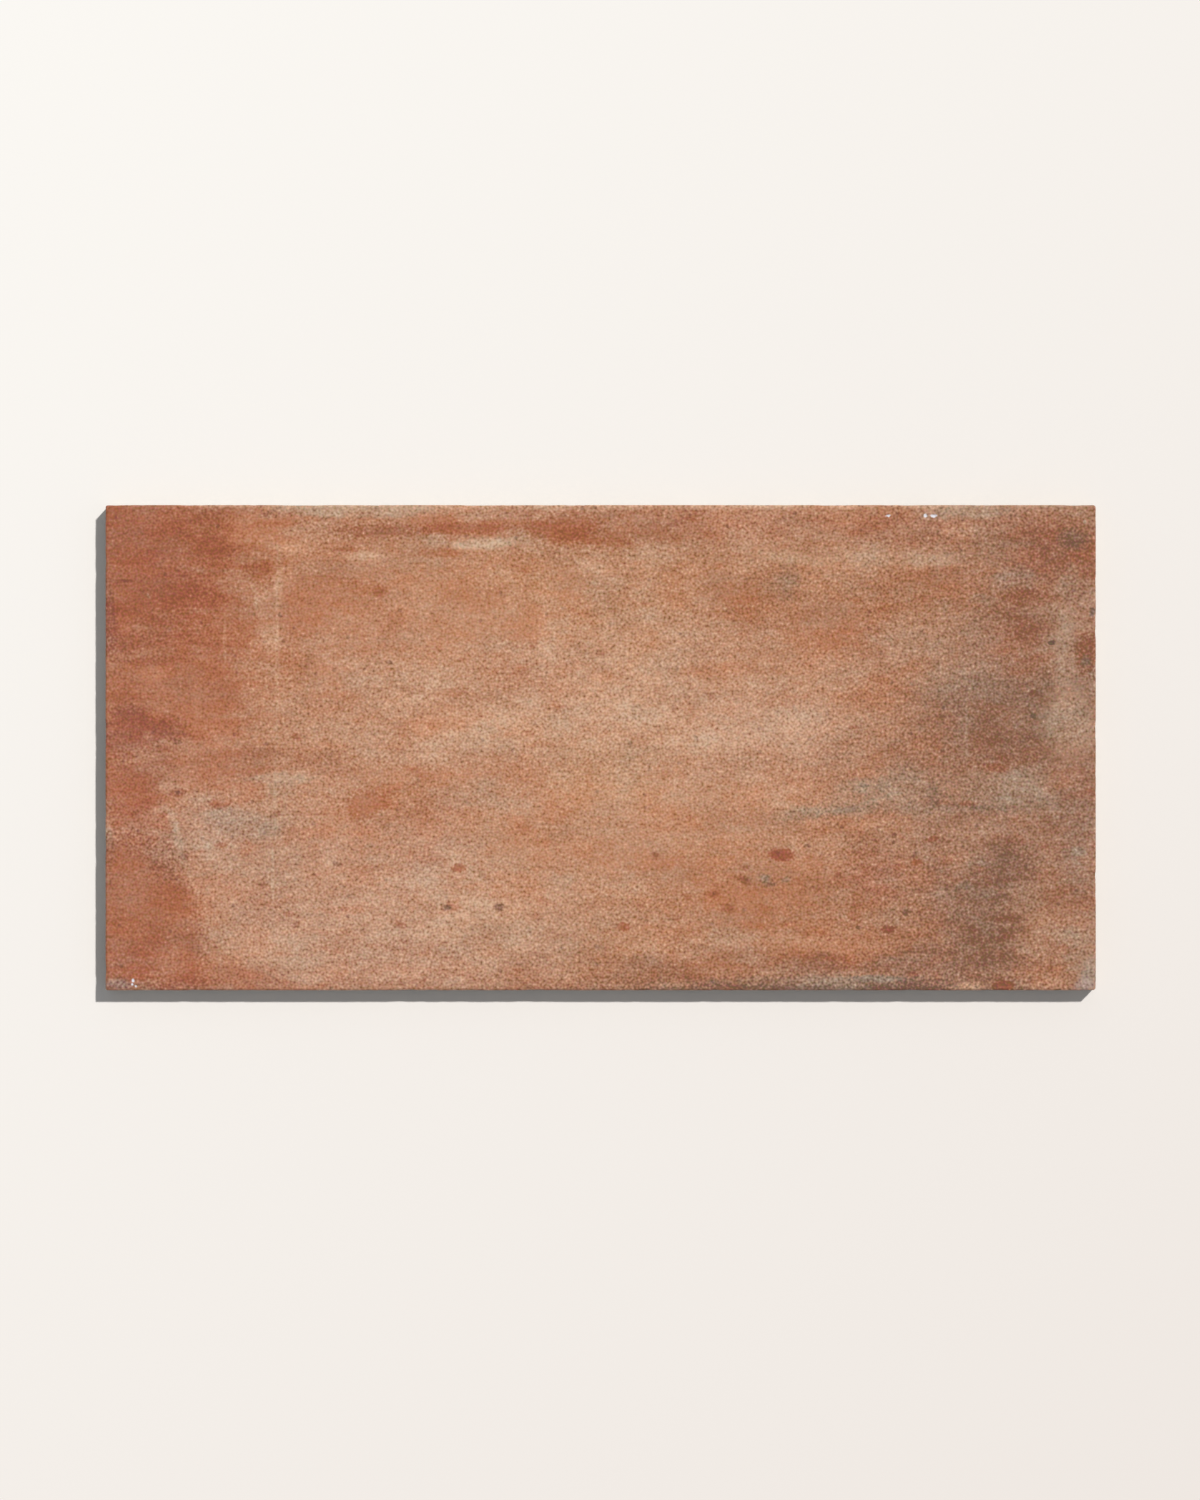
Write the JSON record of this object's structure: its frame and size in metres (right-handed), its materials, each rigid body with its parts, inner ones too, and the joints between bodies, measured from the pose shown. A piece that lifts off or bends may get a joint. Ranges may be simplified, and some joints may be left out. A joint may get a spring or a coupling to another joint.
{
  "type": "porcelain tile",
  "caption": "Flat rectangular pressed porcelain tile with a matt terracotta-look face, softly rounded face edges and a shallow ribbed grid on its back for adhesive.",
  "frame": {"origin": "middle of the back, on the bedding plane that the ribs' crests and the rim lie in", "axes": "+X along the length, +Y along the width, +Z out of the face"},
  "size_m": [0.3, 0.147, 0.009],
  "materials": {
    "porcelain": "matte"
  },
  "bodies": {
    "root": {"tile": "porcelain"}
  },
  "joints": []
}
